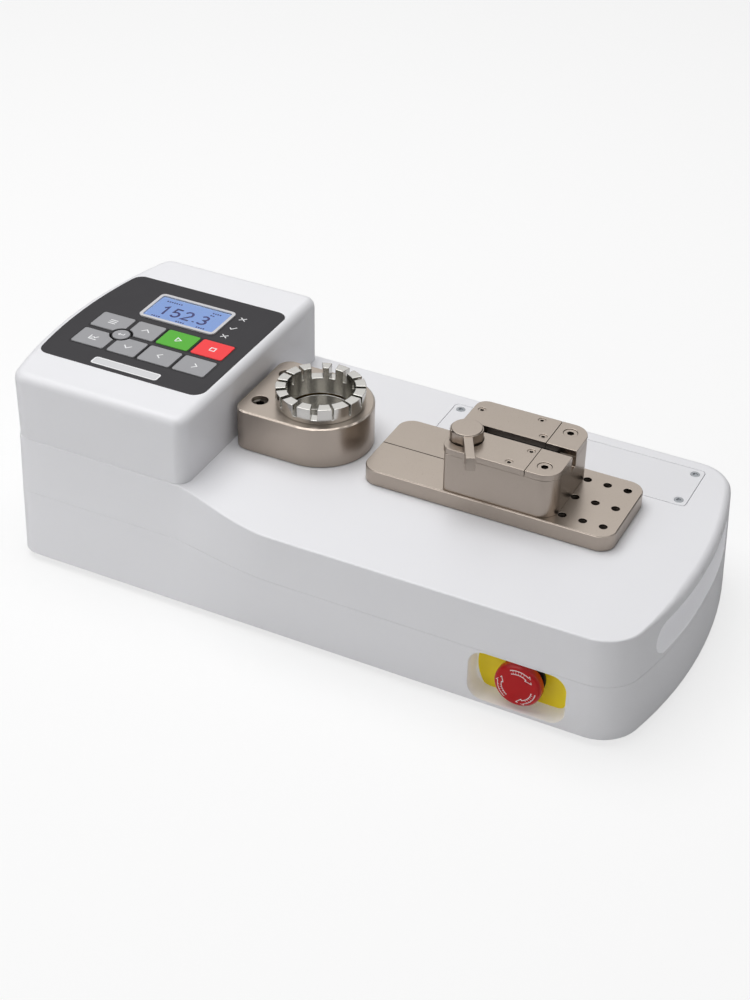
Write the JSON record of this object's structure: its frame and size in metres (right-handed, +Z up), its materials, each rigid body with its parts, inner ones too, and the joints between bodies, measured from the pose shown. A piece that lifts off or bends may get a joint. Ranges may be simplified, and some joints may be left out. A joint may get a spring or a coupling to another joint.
{
  "type": "wire crimp pull tester",
  "caption": "Motorised bench tester that pulls a wire from its crimped terminal: slotted terminal ring, sliding cam grip, keypad display head and emergency stop.",
  "frame": {"origin": "middle of the footprint, on the bench under the feet", "axes": "+X along the pull from the terminal ring to the grip, +Z up, -Y the front with the emergency stop"},
  "size_m": [0.437, 0.195, 0.1227],
  "materials": {
    "white_moulding": "fine spark-eroded texture, semi-matt white",
    "charcoal_overlay": "printed polyester film, satin",
    "black_plastic": "moulded black",
    "black_rubber": "moulded rubber",
    "red_plastic": "glossy red",
    "grey_key": "embossed film key, satin grey",
    "silver_frame": "moulded display frame, silver grey",
    "green_key": "embossed film key, green",
    "red_key": "embossed film key, red",
    "display_glass": "clear hard-coated window",
    "lcd_blue": "backlit liquid crystal glass",
    "board_green": "solder-masked circuit board",
    "yellow_legend": "printed yellow disc",
    "contact_plastic": "moulded contact block",
    "satin_nickel": "bead-blasted, nickel plated, warm satin",
    "polished_steel": "turned, milled and polished steel",
    "hardened_steel": "ground and hardened, dark",
    "ground_steel": "ground bright",
    "socket_screws": "plated socket screws",
    "zinc_screws": "zinc plated screws",
    "bronze": "sintered bronze",
    "port_metal": "stamped tinned steel",
    "cell_alloy": "machined alloy",
    "plain_alloy": "milled alloy",
    "motor_black": "black painted laminations"
  },
  "bodies": {
    "casing": {"base_tray": "white_moulding", "main_cover": "white_moulding", "head_housing": "white_moulding", "service_cover": "white_moulding", "service_screws": "zinc_screws", "feet": "black_rubber", "casing_screws": "zinc_screws", "power_inlet": "black_plastic", "rocker_frame": "black_plastic", "usb_port": "port_metal", "panel_overlay": "charcoal_overlay", "display_bezel": "silver_frame", "display_window": "display_glass", "lcd_module": "lcd_blue", "key_board": "board_green", "stop_legend": "yellow_legend", "stop_collar": "black_plastic", "stop_contacts": "contact_plastic", "fixture_block": "satin_nickel", "ring_sleeve": "bronze", "fixture_screws": "socket_screws", "load_cell": "cell_alloy", "cell_bridge": "plain_alloy", "guide_rods": "ground_steel", "bearing_blocks": "plain_alloy", "motor": "motor_black", "motor_bracket": "plain_alloy", "chassis_plate": "plain_alloy", "power_supply": "cell_alloy", "main_board": "board_green"},
    "power_rocker": {"power_rocker": "red_plastic"},
    "grip_carriage": {"grip_plate": "satin_nickel", "grip_body": "satin_nickel", "front_cover": "satin_nickel", "rear_cover": "satin_nickel", "front_cap": "satin_nickel", "rear_cap": "satin_nickel", "cap_screws": "socket_screws", "cover_screws": "socket_screws", "jaw_pins": "ground_steel", "carriage": "plain_alloy"},
    "jaw_front": {"jaw_front": "hardened_steel"},
    "jaw_rear": {"jaw_rear": "hardened_steel"},
    "cam_lever": {"cam_lever": "satin_nickel"},
    "drive_screw": {"lead_screw": "ground_steel", "shaft_coupling": "plain_alloy"},
    "slot_ring": {"slot_ring": "polished_steel"},
    "stop_stem": {"stop_stem": "black_plastic"},
    "stop_head": {"stop_head": "red_plastic"},
    "key_menu": {"key_menu": "grey_key"},
    "key_data": {"key_data": "grey_key"},
    "key_enter": {"key_enter": "grey_key"},
    "key_up_arrow": {"key_up_arrow": "grey_key"},
    "key_down_arrow": {"key_down_arrow": "grey_key"},
    "key_start": {"key_start": "green_key"},
    "key_stop": {"key_stop": "red_key"},
    "key_left": {"key_left": "grey_key"},
    "key_right": {"key_right": "grey_key"}
  },
  "joints": [
    {"name": "grip_slide", "type": "slide", "parent": "casing", "child": "grip_carriage", "axis": [1, 0, 0], "range_m": [0, 0.045]},
    {"name": "screw_turn", "type": "hinge", "parent": "casing", "child": "drive_screw", "pos_m": [0, 0.0094, 0.04], "axis": [1, 0, 0], "continuous": true},
    {"name": "lever_swing", "type": "hinge", "parent": "grip_carriage", "child": "cam_lever", "pos_m": [0.0643, -0.004, 0.1155], "axis": [0, 0, 1], "range_deg": [-62, 0]},
    {"name": "front_jaw_slide", "type": "slide", "parent": "grip_carriage", "child": "jaw_front", "axis": [0, -1, 0], "range_m": [0, 0.0026]},
    {"name": "rear_jaw_slide", "type": "slide", "parent": "grip_carriage", "child": "jaw_rear", "axis": [0, 1, 0], "range_m": [0, 0.0026]},
    {"name": "ring_turn", "type": "hinge", "parent": "casing", "child": "slot_ring", "pos_m": [-0.0395, 0.0094, 0.103], "axis": [0, 0, 1], "continuous": true},
    {"name": "stop_press", "type": "slide", "parent": "casing", "child": "stop_stem", "axis": [0, 1, 0], "range_m": [0, 0.0028]},
    {"name": "stop_twist", "type": "hinge", "parent": "stop_stem", "child": "stop_head", "pos_m": [0.1413, -0.09, 0.0244], "axis": [0, 1, 0], "range_deg": [0, 45], "stiffness_Nm_per_rad": 0.02},
    {"name": "rocker_tip", "type": "hinge", "parent": "casing", "child": "power_rocker", "pos_m": [-0.142, 0.0907, 0.0977], "axis": [1, 0, 0], "range_deg": [-16, 0]},
    {"name": "key_menu_press", "type": "slide", "parent": "casing", "child": "key_menu", "axis": [0, 0, -1], "range_m": [0, 0.0004], "stiffness_N_per_m": 1500, "springref_m": -0.0005},
    {"name": "key_data_press", "type": "slide", "parent": "casing", "child": "key_data", "axis": [0, 0, -1], "range_m": [0, 0.0004], "stiffness_N_per_m": 1500, "springref_m": -0.0005},
    {"name": "key_enter_press", "type": "slide", "parent": "casing", "child": "key_enter", "axis": [0, 0, -1], "range_m": [0, 0.0004], "stiffness_N_per_m": 1500, "springref_m": -0.0005},
    {"name": "key_up_arrow_press", "type": "slide", "parent": "casing", "child": "key_up_arrow", "axis": [0, 0, -1], "range_m": [0, 0.0004], "stiffness_N_per_m": 1500, "springref_m": -0.0005},
    {"name": "key_down_arrow_press", "type": "slide", "parent": "casing", "child": "key_down_arrow", "axis": [0, 0, -1], "range_m": [0, 0.0004], "stiffness_N_per_m": 1500, "springref_m": -0.0005},
    {"name": "key_start_press", "type": "slide", "parent": "casing", "child": "key_start", "axis": [0, 0, -1], "range_m": [0, 0.0004], "stiffness_N_per_m": 1500, "springref_m": -0.0005},
    {"name": "key_stop_press", "type": "slide", "parent": "casing", "child": "key_stop", "axis": [0, 0, -1], "range_m": [0, 0.0004], "stiffness_N_per_m": 1500, "springref_m": -0.0005},
    {"name": "key_left_press", "type": "slide", "parent": "casing", "child": "key_left", "axis": [0, 0, -1], "range_m": [0, 0.0004], "stiffness_N_per_m": 1500, "springref_m": -0.0005},
    {"name": "key_right_press", "type": "slide", "parent": "casing", "child": "key_right", "axis": [0, 0, -1], "range_m": [0, 0.0004], "stiffness_N_per_m": 1500, "springref_m": -0.0005}
  ],
  "couplings": [
    {"joint": "screw_turn", "follows": "grip_slide", "rad_per_m": 1256.6},
    {"joint": "lever_swing", "follows": "front_jaw_slide", "rad_per_m": -416.19},
    {"joint": "rear_jaw_slide", "follows": "front_jaw_slide", "ratio": 1}
  ]
}
